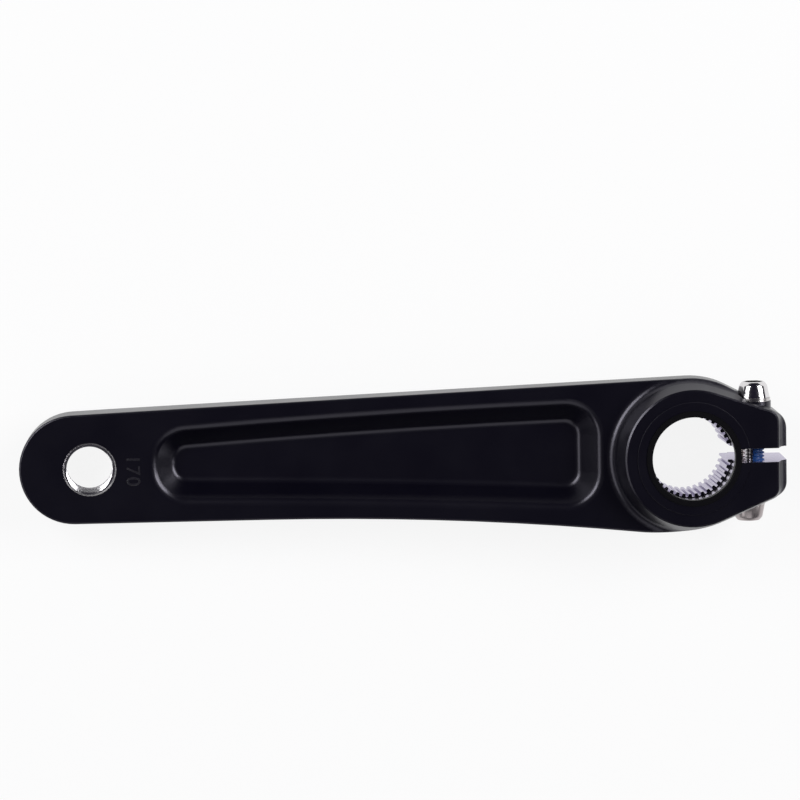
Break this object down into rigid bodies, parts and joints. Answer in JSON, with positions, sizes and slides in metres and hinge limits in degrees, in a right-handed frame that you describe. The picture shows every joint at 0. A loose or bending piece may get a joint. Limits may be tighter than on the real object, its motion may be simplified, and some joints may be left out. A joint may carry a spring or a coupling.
{
  "type": "bicycle crank arm",
  "caption": "Left bicycle crank arm in black: a pocketed forged arm with a threaded pedal eye and a splined, split clamp boss closed by opposed pinch bolts.",
  "frame": {"origin": "on the spindle axis, half way along the splines", "axes": "+Z along the spindle axis out of the inner face, +X from the pedal eye to the spindle and on to the jaws, +Y across the arm"},
  "size_m": [0.2178, 0.044, 0.0264],
  "materials": {
    "arm_finish": "satin black over forged aluminium",
    "seal_plastic": "matt black",
    "bolt_plating": "bright plated",
    "washer_steel": "plated, lightly turned"
  },
  "bodies": {
    "root": {"crank_arm": "arm_finish", "spindle_seal_ring": "seal_plastic", "clamp_bolt_upper": "bolt_plating", "clamp_bolt_lower": "bolt_plating", "clamp_washer_upper": "washer_steel", "clamp_washer_lower": "washer_steel"}
  },
  "joints": []
}
